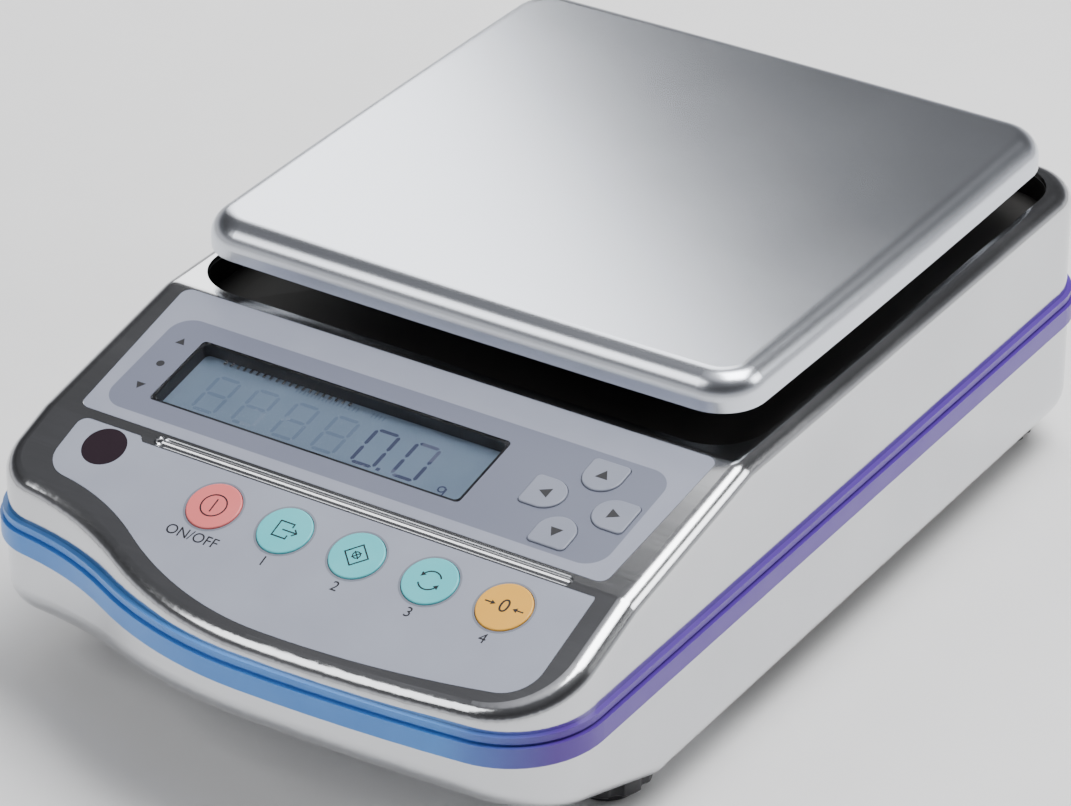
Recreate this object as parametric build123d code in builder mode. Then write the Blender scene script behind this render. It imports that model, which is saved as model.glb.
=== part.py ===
from build123d import *
from math import asin, cos, degrees, radians, sin, sqrt, tan
import os

# Top-loading balance with a stainless steel case, in millimetres.
# The origin is the middle of the footprint, on the bench. Z is up and the keys face -Y.

# Overall sizes
case_width = 197.6          # over the seal round the waist
case_depth = 306.6          # over the seal, front to back
pan_height = 105.0          # bench to the top of the pan
case_floor_z = 10.0         # bench to the underside of the case
shelf_z = 86.2              # bench to the steel shelf round the pan
steel = 1.2                 # sheet thickness of both case halves

# Plan outline of the waist: straight sides, round corners and an S-shaped front
peak_x = 5.0                # where the front reaches furthest forward
bow_radius = 600.0          # gentle bow of the front, right of that point
right_corner = 28.0
left_corner = 18.0
back_corner = 20.0
s_convex = 118.0            # outward bend of the S
s_concave = 100.0           # inward bend of the S
s_slope = 26.6              # steepest angle between the two bends, degrees
s_start = 7.0               # angle at which the left corner hands over, degrees

# Upper case in side view
bend_y = -45.2              # where the shelf turns down into the display face
fold_y = -102.3             # where the display face turns down into the key face
display_tilt = 11.5         # degrees
key_tilt = 20.0             # degrees
bend_radius = 12.0
fold_radius = 8.0
rim_radius = 5.5            # rolled edge round the top of the upper case

# Waist joint and the seal over it
upper_inset = 2.4           # seal face to upper case wall
lower_inset = 1.6           # seal face to lower case wall
joint_z = 48.0              # top edge of the lower case
web = 1.0                   # seal between the two sheet edges
seal_bottom = 43.8
seal_shoulder = 50.2        # top of the wide band
seal_lip_bottom = 51.1
seal_top = 53.0
lip_inset = 0.9
seal_groove = 1.5           # depth of the line between band and lip
seal_tongue = 1.0           # how far the web reaches inside the sheet edges
seal_edge = 0.8             # rounding of the band's lower edge

# Lower case
floor_radius = 10.0
chin_y = -88.3              # where the underside starts to rise to the front
chin_angle = 19.3           # degrees

# Pan
pan_size = 180.0
pan_y = 49.7
pan_skirt = 10.3
pan_corner = 13.8
pan_bow = 0.8               # how far each side bulges out in the middle
pan_edge = 7.0              # rounded edge of the pressed sheet
pan_sheet = 1.2

# Well under the pan
well_half = 90.5
well_front_y = -42.3
well_back_y = 144.6
well_corner = 16.0
well_depth = 9.0
well_rise = 2.5             # the floor climbs to the middle so that it drains
well_gutter = 8.0           # level strip of floor along the walls
well_plateau = 20.0         # half the level square round the collar
collar_outer = 17.0         # raised neck round the column, radii
collar_inner = 12.0
collar_z = 86.0

# Display face, measured from the top edge of its overlay
overlay = 0.5               # thickness of both printed overlays
overlay_gap = 0.15
display_start = 0.8         # bend to overlay edge
display_top_half = 87.2
display_bottom_half = 84.8
display_length = 54.4
display_corner = 3.0
window_x = -17.9
window_down = 30.7
window_width = 101.8
window_height = 27.0
window_corner = 1.5
arrow_x = 62.7
arrow_down = 31.0
arrow_spread_x = 10.4
arrow_spread_y = 12.0
arrow_size = 11.6
arrow_corner = 1.5

# Key face, measured from the fold
keys_x = -27.7
keys_pitch = 23.1
keys_down = 14.2
key_diameter = 15.6
level_x = -68.9
level_down = 7.6
level_diameter = 12.8
panel_left = 81.2
panel_right = 85.4
panel_length = 45.9
panel_peak_x = 8.0
panel_bow = 364.0
panel_convex = 98.0
panel_concave = 72.0
panel_slope = 32.0
panel_start = 7.0
panel_left_corner = 8.0
panel_right_corner = 11.0
panel_back_corner = 3.0
panel_edge_gap = 2.2        # fold to overlay edge along the groove
panel_step_gap = 0.5        # fold to overlay edge left of the groove
panel_step_x = -62.0

# Groove pressed along the fold
groove_length = 134.0
groove_x = 10.0
groove_width = 3.6          # a round-bottomed groove, half as deep as wide

# Keys
key_gap = 0.2
key_crown = 0.5
key_travel = 0.4
flange = 0.8                # how far the hidden flange is wider than its hole
flange_thickness = 0.8
stem_diameter = 4.0
dome_height = 0.28
dome_diameter = 5.0
dome_clearance = 0.42
stop_gap = 0.05             # play of a part that rests against a stop
key_board_depth = 5.0       # skin to the board under the key face

# Display stack, depths below the outer face
bezel_wall = 2.6
bezel_ledge = 1.0
pocket_wall = 1.4           # frame wall beside the glass
glass_depth = 4.3
glass_thickness = 1.8
backlight_thickness = 2.0
board_thickness = 1.6
pin_count = 20
pin_pitch = 2.2
pin_size = 0.7
pin_length = 1.6
pins_x = -40.0
board_margin = 3.0          # board edge beyond its screws
post_diameter = 6.0
key_post_half = 7.2         # screw rows of the key board, from the key centres
display_post_left = -66.0
display_post_right = 79.0
display_post_half = 20.5    # screw rows of the display board, from the window's middle

# Spirit level
vial_diameter = 10.0
vial_height = 5.5
vial_recess = 0.9
vial_wall = 1.0
bubble_diameter = 4.0
bubble_height = 0.8
holder_diameter = 19.0
holder_depth = 11.0

# Main board and the flat cable up to the display board
main_board_z = 18.0
main_post_x = 45.0
main_post_front = -76.0
main_post_back = -24.0
ribbon_x = 30.0
ribbon_down = 40.0          # cable socket on the display board, down from the bend
ribbon_foot_y = -50.0
ribbon_width = 20.0
ribbon_thickness = 0.9
ribbon_bend = 8.0
ribbon_straight = 15.0      # straight end of the cable at either socket
socket_wall = 1.5
socket_depth = 5.0
socket_height = 4.0
chip_size = 14.0
chip_height = 2.0
capacitor_diameter = 8.0
capacitor_height = 11.0

# Sockets in the back wall
socket_z = 31.0
inlet_x = 60.0
inlet_diameter = 10.0
inlet_flange = 13.0
inlet_length = 15.0
inlet_bore = 5.5
inlet_pin = 2.1
port_x = -45.0
port_width = 18.0
port_height = 9.0
port_corner = 2.0
port_flange = 31.0
port_depth = 11.0
port_screw_pitch = 25.0
port_hole = 1.1
port_pitch = 2.76
socket_proud = 1.4          # how far both stand out of the wall, less than the seal

# Weighing mechanism
chassis_half_x = 62.0
chassis_front_y = -12.0
chassis_back_y = 134.0
chassis_z = 17.0
chassis_thickness = 5.0
chassis_corner = 8.0
chassis_slot = 12.0         # lightening slots beside the mechanism
chassis_slot_length = 80.0
chassis_slot_x = 36.0
leg_x = 52.0
leg_front = 0.0
leg_back = 122.0
leg_diameter = 12.0
block_half_x = 16.0
block_half_y = 8.0
block_bottom = 24.0
block_top = 66.0
fixed_front_y = 110.0
fixed_depth = 16.0
block_corner = 2.0
sill_height = 5.0           # bar from the fixed block forward to the fulcrum
fulcrum_foot = 8.0
fulcrum_tip = 1.0
guide_thickness = 2.4
guide_window_half = 8.0
guide_window_length = 36.0
guide_notch = 0.8           # radius of the thin bending places
guide_notch_inset = 3.5
upper_guide_z = 61.0
lower_guide_z = 29.0
guide_gap = 0.3
column_diameter = 12.0
column_foot = 20.0
column_foot_height = 3.0
boot_height = 1.6
support_z = 94.5            # underside of the pan carrier
support_thickness = 6.2
support_reach = 54.0        # bumper centres from the middle, both ways
support_arm = 14.0
support_hub = 38.0
bumper_diameter = 12.0
lever_z = 45.0
lever_height = 7.0
lever_half_x = 5.0
lever_end_y = 98.0
fulcrum_y = 76.0
load_travel = 0.3
stop_diameter = 8.0
fork_half_x = 8.0
fork_bottom = 36.0
fork_top = 58.0
fork_end = 4.0              # height of the solid ends
fork_front_y = 99.0
fork_prong = 2.5
fork_slot = 4.0             # gap between the two prongs

# Feet
foot_x = 75.5
foot_front_y = -83.0
foot_back_y = 133.5
foot_diameter = 25.0
foot_lobes = 8
pad_height = 2.5
pad_diameter = 19.0
pad_edge = 0.6
pivot_diameter = 10.0       # round end of the knob that turns in the pad
pivot_depth = 1.0
knob_scallop = 2.8          # radius of the finger hollows
knob_scallop_out = 14.2     # their centres
knob_edge = 0.8
stud_diameter = 6.0
stud_top = 27.0
nut_diameter = 15.0
nut_flat = 4.8              # flat side of the weld nut, from its axis
nut_height = 9.0
thread_gap = 0.06

# Hardware
hole_gap = 0.25
fit_gap = 0.1
screw_diameter = 4.0
screw_head = 7.5
screw_head_height = 2.8
case_screw_grip = 12.0
frame_screw_x = 9.0
board_screw = 2.9
board_screw_head = 5.5
board_screw_head_height = 2.0
board_screw_grip = 3.0
case_post_x = 82.0
case_post_front = -28.0
case_post_back = 112.0
case_post_diameter = 9.0

half_width = case_width / 2
front_y = -case_depth / 2
back_y = case_depth / 2
fold_z = shelf_z - (bend_y - fold_y) * tan(radians(display_tilt))
floor_top = case_floor_z + steel
os.makedirs("parts", exist_ok=True)


def s_outline(left, right, front, back, peak, bow, convex, concave, slope, start, corners, inset):
    """Closed line with an S-shaped front. Each radius grows or shrinks with the inset."""
    front_left, front_right, back_both = (radius - inset for radius in corners)
    bow, convex, concave = bow - inset, convex - inset, concave + inset
    left, right, front, back = left - inset, right - inset, front + inset, back - inset
    sweep = degrees(asin((right - peak - front_right) / (bow - front_right)))
    a, b = radians(slope), radians(start)
    convex_x = peak - convex * sin(a)
    convex_y = front + convex * (1 - cos(a))
    concave_x = convex_x - concave * (sin(a) - sin(b))
    concave_y = convex_y + concave * (cos(b) - cos(a))
    corner_x = -left + front_left * (1 - sin(b))
    corner_y = concave_y + (concave_x - corner_x) * tan(b)
    bowed = JernArc((peak, front), (1, 0), bow, sweep)
    turned = JernArc(bowed @ 1, bowed % 1, front_right, 90 - sweep)
    side = Line(turned @ 1, (right, back - back_both))
    back_right = JernArc(side @ 1, (0, 1), back_both, 90)
    rear = Line(back_right @ 1, (-left + back_both, back))
    back_left = JernArc(rear @ 1, (-1, 0), back_both, 90)
    left_side = Line(back_left @ 1, (-left, corner_y + front_left * cos(b)))
    left_turn = JernArc(left_side @ 1, (0, -1), front_left, 90 - start)
    run = Line(left_turn @ 1, (concave_x, concave_y))
    hollow = JernArc(run @ 1, run % 1, concave, start - slope)
    JernArc(hollow @ 1, hollow % 1, convex, slope)


def waist_face(inset, z):
    """Plan outline of the case, moved in from the face of the seal."""
    with BuildSketch(Plane.XY.offset(z)) as plan:
        with BuildLine():
            s_outline(half_width, half_width, front_y, back_y, peak_x, bow_radius, s_convex, s_concave,
                      s_slope, s_start, (left_corner, right_corner, back_corner), inset)
        make_face()
    return plan.sketch


def skin_corners(drop):
    """Side view of the bend and the fold, on the outer skin or lowered by the sheet thickness."""
    half = radians(display_tilt / 2)
    middle = radians((display_tilt + key_tilt) / 2)
    shift = drop / cos(radians((key_tilt - display_tilt) / 2))
    bend = (bend_y + drop * tan(half), shelf_z - drop)
    fold = (fold_y + shift * sin(middle), fold_z - shift * cos(middle))
    return bend, fold


def top_profile(drop):
    """Side view of everything below the upper case's skin."""
    bend, fold = skin_corners(drop)
    front_end = front_y - 1
    end_z = fold_z - drop / cos(radians(key_tilt)) - (fold_y - front_end) * tan(radians(key_tilt))
    with BuildSketch(Plane.YZ) as side:
        with BuildLine():
            Polyline((back_y + 1, 0), (back_y + 1, shelf_z - drop), bend, fold,
                     (front_end, end_z), (front_end, 0), close=True)
        make_face()
        for corner, radius in ((bend, bend_radius), (fold, fold_radius)):
            vertex = side.vertices().sort_by(lambda v: abs(v.X - corner[0]) + abs(v.Y - corner[1]))[0]
            fillet(vertex, radius - drop)
    return side.sketch


def upper_block(inset, drop):
    """Solid inside the outline at this inset, rounded over along its top edge."""
    with BuildPart() as block:
        extrude(waist_face(inset, joint_z + web), amount=shelf_z)
        extrude(top_profile(drop), amount=half_width, both=True, mode=Mode.INTERSECT)
        rim = [edge for edge in block.edges()
               if edge.center().Z > joint_z + web + 1
               and edge.tangent_at(0.5).Z ** 2 < 0.9
               and not (abs(edge.tangent_at(0.5).X) > 0.99 and edge.length > case_width * 0.9)]
        fillet(rim, rim_radius - drop)
    return block.part


def lower_block(inset, rise):
    """Solid inside the lower case outline, with a flat bottom that turns up to the front."""
    chin_end = front_y - 1
    chin_start = chin_y + rise * tan(radians(chin_angle / 2))
    end_z = case_floor_z + rise + (chin_start - chin_end) * tan(radians(chin_angle))
    with BuildPart() as block:
        extrude(waist_face(inset, 0), amount=joint_z)
        with BuildSketch(Plane.YZ) as side:
            with BuildLine():
                Polyline((back_y + 1, joint_z), (back_y + 1, case_floor_z + rise),
                         (chin_start, case_floor_z + rise), (chin_end, end_z), (chin_end, joint_z), close=True)
            make_face()
        extrude(amount=half_width, both=True, mode=Mode.INTERSECT)
        rim = [edge for edge in block.edges()
               if edge.center().Z < joint_z - 1
               and edge.tangent_at(0.5).Z ** 2 < 0.9
               and not (abs(edge.tangent_at(0.5).X) > 0.99 and edge.length > case_width * 0.7
                        and abs(edge.center().Y - chin_start) < 1)]
        fillet(rim, floor_radius - rise)
    return block.part


def on_face(plane, x, down, depth=0.0, turn=0.0):
    """Plane on a sloping face: x across, down the slope, and depth below its skin."""
    return Plane(plane * Pos(x, -down, -depth) * Rot(0, 0, turn))


def arrow_outline(grow):
    """D shape of an arrow key with its round side at the bottom."""
    half = arrow_size / 2 + grow
    with BuildSketch() as outline:
        Circle(half)
        with Locations((0, half / 2)):
            Rectangle(2 * half, half)
        fillet(outline.vertices().group_by(Axis.Y)[-1], arrow_corner + grow)
    return outline.sketch


def round_outline(grow):
    """Disc of a round key."""
    with BuildSketch() as outline:
        Circle(key_diameter / 2 + grow)
    return outline.sketch


def put(plane, sketch, amount, mode=Mode.ADD):
    """Extrude a flat outline from a plane, inside the part being built."""
    with BuildSketch(plane) as placed:
        add(sketch)
    extrude(placed.sketch, amount=amount, mode=mode)


def disc(plane, diameter, amount, mode=Mode.ADD):
    """Extrude a disc from a plane, inside the part being built."""
    with BuildSketch(plane) as placed:
        Circle(diameter / 2)
    extrude(placed.sketch, amount=amount, mode=mode)


def display_outline(grow):
    """Overlay of the display face: a rounded trapezoid."""
    with BuildSketch() as outline:
        with BuildLine():
            Polyline((-display_top_half, -display_start), (display_top_half, -display_start),
                     (display_bottom_half, -display_start - display_length),
                     (-display_bottom_half, -display_start - display_length), close=True)
        make_face()
        fillet(outline.vertices(), display_corner)
        if grow:
            offset(amount=grow)
    return outline.sketch


def key_panel_outline(grow):
    """Overlay of the key face: the S-shaped front again, notched along the groove."""
    with BuildSketch() as outline:
        with BuildLine():
            s_outline(panel_left, panel_right, -panel_length, -panel_step_gap, panel_peak_x, panel_bow,
                      panel_convex, panel_concave, panel_slope, panel_start,
                      (panel_left_corner, panel_right_corner, panel_back_corner), -grow)
        make_face()
        notch_y = grow - panel_edge_gap
        with BuildLine():
            Polyline((panel_step_x + grow, grow), (panel_step_x + grow + panel_edge_gap, notch_y),
                     (panel_right + panel_back_corner, notch_y), (panel_right + panel_back_corner, grow + 1),
                     (panel_step_x + grow, grow + 1), close=True)
        make_face(mode=Mode.SUBTRACT)
    return outline.sketch


def rounded(width, height, corner):
    """Rounded rectangle."""
    with BuildSketch() as outline:
        RectangleRounded(width, height, corner)
    return outline.sketch


def groove_bar(radius):
    """Round bar with ball ends along the fold: the space of the groove, or the sheet round it."""
    middle = (groove_x, fold_y, fold_z)
    with BuildPart() as bar:
        with BuildSketch(Plane(middle)):
            SlotOverall(groove_length + 2 * radius - groove_width, 2 * radius)
            Rectangle(2 * groove_length, 2 * radius, align=(Align.CENTER, Align.MAX), mode=Mode.SUBTRACT)
        revolve(axis=Axis(middle, (1, 0, 0)))
    return bar.part


def well_space(grow, drop, top):
    """Space of the well, or the pressed sheet round it, with a floor that climbs to the middle."""
    floor = shelf_z - well_depth - drop
    middle_y = (well_front_y + well_back_y) / 2
    half_depth = (well_back_y - well_front_y) / 2
    with BuildPart() as space:
        with BuildSketch(Plane.XY.offset(floor)):
            with Locations((0, middle_y)):
                RectangleRounded(2 * (well_half + grow), 2 * (half_depth + grow), well_corner + grow)
        extrude(amount=top - floor)
        with BuildSketch(Plane.XY.offset(floor)):
            with Locations((0, middle_y)):
                Rectangle(2 * (well_half - well_gutter), 2 * (half_depth - well_gutter))
        with BuildSketch(Plane.XY.offset(floor + well_rise)):
            with Locations((0, pan_y)):
                Rectangle(2 * well_plateau, 2 * well_plateau)
        loft(mode=Mode.SUBTRACT)
    return space.part


display_face = Plane((0, bend_y, shelf_z), x_dir=(1, 0, 0),
                     z_dir=(0, -sin(radians(display_tilt)), cos(radians(display_tilt))))
key_face = Plane((0, fold_y, fold_z), x_dir=(1, 0, 0),
                 z_dir=(0, -sin(radians(key_tilt)), cos(radians(key_tilt))))
window_middle = display_start + window_down
arrow_middle = display_start + arrow_down
board_depth = glass_depth + glass_thickness + backlight_thickness
window_hole = rounded(window_width, window_height, window_corner)
bezel_hole = rounded(window_width + 2 * bezel_ledge, window_height + 2 * bezel_ledge, window_corner + bezel_ledge)

# Every key: node name, plane of its middle, its outline, and the depth of the board under it
round_names = ("key_on_off", "key_print", "key_set", "key_function", "key_zero_tare")
arrow_names = ("key_up", "key_left", "key_down", "key_right")
arrow_places = ((0, arrow_spread_y), (-arrow_spread_x, 0), (0, -arrow_spread_y), (arrow_spread_x, 0))
keys = [(name, on_face(key_face, keys_x + i * keys_pitch, keys_down), round_outline, key_board_depth)
        for i, name in enumerate(round_names)]
keys += [(name, on_face(display_face, arrow_x + x, arrow_middle - y, turn=90 * i), arrow_outline, board_depth)
         for i, (name, (x, y)) in enumerate(zip(arrow_names, arrow_places))]

# Posts that carry the two boards under the sloping faces
key_posts = [on_face(key_face, keys_x + (2 + 1.5 * i) * keys_pitch, keys_down + j * key_post_half, key_board_depth)
             for i in (-1, 1) for j in (-1, 1)]
display_posts = [on_face(display_face, x, window_middle + j * display_post_half, board_depth)
                 for x in (display_post_left, display_post_right) for j in (-1, 1)]
main_posts = [Plane((x, y, main_board_z)) for x in (-main_post_x, main_post_x) for y in (main_post_front, main_post_back)]
case_posts = [(x, y) for x in (-case_post_x, case_post_x) for y in (case_post_front, case_post_back)]
chassis_legs = [(x, y) for x in (-leg_x, leg_x) for y in (leg_front, leg_back)]
feet = [(x, y) for y in (foot_front_y, foot_back_y) for x in (-foot_x, foot_x)]

standing = (Align.CENTER, Align.CENTER, Align.MIN)
well_under = shelf_z - well_depth - steel
collar_base = well_under + well_rise
upper_inside = upper_block(upper_inset + steel, steel)
with BuildPart() as groove_sheet:
    add(groove_bar(groove_width / 2 + steel))
    add(upper_inside, mode=Mode.INTERSECT)

# Upper case: one sheet with the well, the groove and the overlay recesses pressed into it
with BuildPart() as upper_case:
    add(upper_block(upper_inset, 0))
    add(upper_inside, mode=Mode.SUBTRACT)
    add(well_space(steel, steel, shelf_z - steel / 2))
    add(well_space(0, 0, shelf_z + 1), mode=Mode.SUBTRACT)
    with Locations((0, pan_y, collar_base)):
        Cone(collar_outer, collar_inner + steel, collar_z - collar_base, align=standing)
        Cone(collar_outer - steel, collar_inner, collar_z - collar_base, align=standing, mode=Mode.SUBTRACT)
    add(groove_sheet.part)
    add(groove_bar(groove_width / 2), mode=Mode.SUBTRACT)
    for x, y in case_posts:
        disc(Plane((x, y, floor_top)), case_post_diameter, well_under - floor_top + steel / 2)
    for plane in key_posts:
        disc(plane, post_diameter, key_board_depth - steel)
    for plane in display_posts:
        disc(plane, post_diameter, board_depth - steel)
    put(display_face.offset(-overlay), display_outline(overlay_gap), overlay + 1, Mode.SUBTRACT)
    put(key_face.offset(-overlay), key_panel_outline(overlay_gap), overlay + 1, Mode.SUBTRACT)
    put(on_face(display_face, window_x, window_middle), bezel_hole, -2 * steel, Mode.SUBTRACT)
    for name, plane, outline, depth in keys:
        put(plane, outline(key_gap), -2 * steel, Mode.SUBTRACT)
    disc(on_face(key_face, level_x, level_down), level_diameter + 2 * fit_gap, -2 * steel, Mode.SUBTRACT)
    for x, y in case_posts:
        disc(Plane((x, y, floor_top)), screw_diameter + 2 * thread_gap, case_screw_grip + 1, Mode.SUBTRACT)
    for plane in key_posts + display_posts:
        disc(plane, board_screw + 2 * thread_gap, board_screw_grip + thread_gap, Mode.SUBTRACT)
upper_case.part.label = "upper_case"

# Lower case: a tray with holes for the feet, the screws and the two sockets at the back
back_wall = Plane((0, back_y - lower_inset, 0), x_dir=(-1, 0, 0), z_dir=(0, 1, 0))
with BuildPart() as lower_case:
    add(lower_block(lower_inset, 0))
    add(lower_block(lower_inset + steel, steel), mode=Mode.SUBTRACT)
    for plane in main_posts:
        disc(Plane(plane.origin - (0, 0, main_board_z - floor_top)), post_diameter, main_board_z - floor_top)
    for plane in main_posts:
        disc(plane, board_screw + 2 * thread_gap, -board_screw_grip - thread_gap, Mode.SUBTRACT)
    for x, y in feet:
        disc(Plane((x, y, case_floor_z)), stud_diameter + 2 * hole_gap, steel, Mode.SUBTRACT)
    for x, y in chassis_legs + case_posts:
        disc(Plane((x, y, case_floor_z)), screw_diameter + 2 * hole_gap, steel, Mode.SUBTRACT)
    disc(Plane(back_wall * Pos(-inlet_x, socket_z, 0)), inlet_diameter + 2 * fit_gap, -2 * steel, Mode.SUBTRACT)
    put(Plane(back_wall * Pos(-port_x, socket_z, 0)),
        rounded(port_width + 2 * fit_gap, port_height + 2 * fit_gap, port_corner), -2 * steel, Mode.SUBTRACT)
    for x in (-port_screw_pitch / 2, port_screw_pitch / 2):
        disc(Plane(back_wall * Pos(x - port_x, socket_z, 0)), board_screw + 2 * fit_gap, -2 * steel, Mode.SUBTRACT)
lower_case.part.label = "lower_case"

# Seal: a rubber ring between the two sheet edges, with a band and a lip outside
with BuildPart() as case_gasket:
    for inset, low, high in ((0, seal_bottom, seal_shoulder), (seal_groove, seal_shoulder, seal_lip_bottom),
                             (lip_inset, seal_lip_bottom, seal_top)):
        put(Plane.XY.offset(low), waist_face(inset, 0), high - low)
    band = case_gasket.edges().filter_by(lambda e: abs(e.center().Z - seal_bottom) < 0.01
                                         and abs(e.tangent_at(0.5).Z) < 0.1)
    fillet(band, seal_edge)
    for inset, low, high in ((lower_inset, seal_bottom, joint_z), (upper_inset, joint_z + web, seal_top),
                             (lower_inset + steel + seal_tongue, joint_z, joint_z + web)):
        put(Plane.XY.offset(low), waist_face(inset, 0), high - low, Mode.SUBTRACT)
case_gasket.part.label = "case_gasket"

# Printed overlays
with BuildPart() as display_panel:
    put(display_face, display_outline(0), -overlay)
    put(on_face(display_face, window_x, window_middle), window_hole, -overlay, Mode.SUBTRACT)
    for name, plane, outline, depth in keys[len(round_names):]:
        put(plane, outline(key_gap), -overlay, Mode.SUBTRACT)
display_panel.part.label = "display_panel"

with BuildPart() as key_panel:
    put(key_face, key_panel_outline(0), -overlay)
    disc(on_face(key_face, level_x, level_down), level_diameter + 2 * fit_gap, -overlay, Mode.SUBTRACT)
    for name, plane, outline, depth in keys[:len(round_names)]:
        put(plane, outline(key_gap), -overlay, Mode.SUBTRACT)
key_panel.part.label = "key_panel"

# Display: window, frame, glass, backlight and board, one under the other
with BuildPart() as display_window:
    put(on_face(display_face, window_x, window_middle),
        rounded(window_width - 2 * fit_gap, window_height - 2 * fit_gap, window_corner - fit_gap), -overlay)
display_window.part.label = "display_window"

glass_grow = 2 * (bezel_wall - pocket_wall)
with BuildPart() as lcd_frame:
    put(on_face(display_face, window_x, window_middle, overlay),
        rounded(window_width + 2 * (bezel_ledge - fit_gap), window_height + 2 * (bezel_ledge - fit_gap),
                window_corner + bezel_ledge - fit_gap), overlay - steel - flange_thickness)
    put(on_face(display_face, window_x, window_middle, steel),
        rounded(window_width + 2 * (bezel_wall + bezel_ledge), window_height + 2 * (bezel_wall + bezel_ledge),
                window_corner + bezel_ledge), -flange_thickness)
    put(on_face(display_face, window_x, window_middle, steel),
        rounded(window_width + 2 * bezel_wall, window_height + 2 * bezel_wall, window_corner + bezel_ledge),
        steel - board_depth)
    put(on_face(display_face, window_x, window_middle),
        rounded(window_width - 2 * bezel_ledge, window_height - 2 * bezel_ledge, window_corner), -board_depth,
        Mode.SUBTRACT)
    put(on_face(display_face, window_x, window_middle, glass_depth),
        rounded(window_width + glass_grow, window_height + glass_grow, window_corner),
        glass_depth - board_depth, Mode.SUBTRACT)
lcd_frame.part.label = "lcd_frame"

pane = rounded(window_width + glass_grow - 2 * fit_gap, window_height + glass_grow - 2 * fit_gap, window_corner)
with BuildPart() as lcd_glass:
    put(on_face(display_face, window_x, window_middle, glass_depth), pane, -glass_thickness)
lcd_glass.part.label = "lcd_glass"

with BuildPart() as lcd_backlight:
    put(on_face(display_face, window_x, window_middle, glass_depth + glass_thickness), pane, -backlight_thickness)
lcd_backlight.part.label = "lcd_backlight"

pin_row = window_middle - window_height / 2 + bezel_ledge + pin_length / 2 + fit_gap
with BuildPart() as lcd_pins:
    with BuildSketch(on_face(display_face, pins_x, pin_row, glass_depth)):
        with GridLocations(pin_pitch, 0, pin_count, 1):
            Rectangle(pin_size, pin_length)
    extrude(amount=pin_size / 2)
lcd_pins.part.label = "lcd_pins"

with BuildPart() as display_board:
    middle = (display_post_left + display_post_right) / 2
    put(on_face(display_face, middle, window_middle, board_depth),
        rounded(display_post_right - display_post_left + 2 * board_margin,
                2 * (display_post_half + board_margin), board_margin / 2), -board_thickness)
    put(on_face(display_face, ribbon_x, ribbon_down, board_depth + board_thickness),
        rounded(ribbon_width + 2 * socket_wall, socket_depth, socket_wall / 2), -socket_height)
    for plane in display_posts:
        disc(plane, board_screw + 2 * hole_gap, -board_thickness, Mode.SUBTRACT)
display_board.part.label = "display_board"

with BuildPart() as key_board:
    put(on_face(key_face, keys_x + 2 * keys_pitch, keys_down, key_board_depth),
        rounded(4 * keys_pitch + key_diameter + 2 * flange, 2 * (key_post_half + board_margin), board_margin / 2),
        -board_thickness)
    for plane in key_posts:
        disc(plane, board_screw + 2 * hole_gap, -board_thickness, Mode.SUBTRACT)
key_board.part.label = "key_board"

with BuildPart() as switch_domes:
    for name, plane, outline, depth in keys:
        disc(plane.offset(-depth), dome_diameter, dome_height)
switch_domes.part.label = "switch_domes"

# Keys: a cap that shows, a flange under the sheet, and a stem down to the dome
key_parts = []
for name, plane, outline, depth in keys:
    with BuildPart() as key:
        put(plane.offset(-steel - stop_gap), outline(0), steel + stop_gap + key_crown)
        fillet(key.faces().filter_by(plane).sort_by(Axis.Z)[-1].edges(), key_crown * 0.8)
        put(plane.offset(-steel - stop_gap), outline(key_gap + flange), -flange_thickness)
        disc(plane.offset(-steel - stop_gap - flange_thickness), stem_diameter,
             steel + stop_gap + flange_thickness + dome_height + dome_clearance - depth)
    key.part.label = name
    key_parts.append(key.part)

# Spirit level, upright in a holder under the key face
level_top = key_face.from_local_coords((level_x, -level_down, 0))
tilt = radians(key_tilt)
vial_top = level_top.Z - (steel + overlay) / cos(tilt) - vial_diameter / 2 * tan(tilt) - 2 * fit_gap
vial_axis = Plane((level_top.X, level_top.Y, vial_top))
with BuildPart() as level_holder:
    disc(on_face(key_face, level_x, level_down), holder_diameter, -holder_depth)
    add(upper_inside, mode=Mode.INTERSECT)
    disc(on_face(key_face, level_x, level_down), level_diameter + 2 * fit_gap, -steel - overlay, Mode.SUBTRACT)
    disc(vial_axis.offset(-vial_height), vial_diameter + 2 * fit_gap, 2 * vial_height, Mode.SUBTRACT)
level_holder.part.label = "level_holder"

with BuildPart() as level_window:
    disc(on_face(key_face, level_x, level_down), level_diameter, -steel - overlay)
level_window.part.label = "level_window"

with BuildPart() as level_vial:
    disc(vial_axis, vial_diameter, -vial_height)
    disc(vial_axis, vial_diameter - 2 * vial_wall, -vial_recess, Mode.SUBTRACT)
level_vial.part.label = "level_vial"

with BuildPart() as level_bubble:
    disc(vial_axis.offset(-vial_recess), bubble_diameter, bubble_height)
level_bubble.part.label = "level_bubble"

# Dust seal on the collar round the column
column_bore = column_diameter / 2 + guide_gap
with BuildPart() as column_boot:
    with BuildSketch(Plane((0, pan_y, 0), x_dir=(0, 1, 0), z_dir=(1, 0, 0))):
        with BuildLine():
            Polyline((column_bore, collar_z), (column_bore, collar_z + boot_height),
                     (collar_inner, collar_z + boot_height), (collar_inner + steel, collar_z),
                     (collar_inner - fit_gap, collar_z), (collar_inner - fit_gap, collar_z - boot_height),
                     (collar_inner - boot_height, collar_z - boot_height), (collar_inner - boot_height, collar_z),
                     close=True)
        make_face()
    revolve(axis=Axis((0, pan_y, 0), (0, 0, 1)))
column_boot.part.label = "column_boot"

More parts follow.
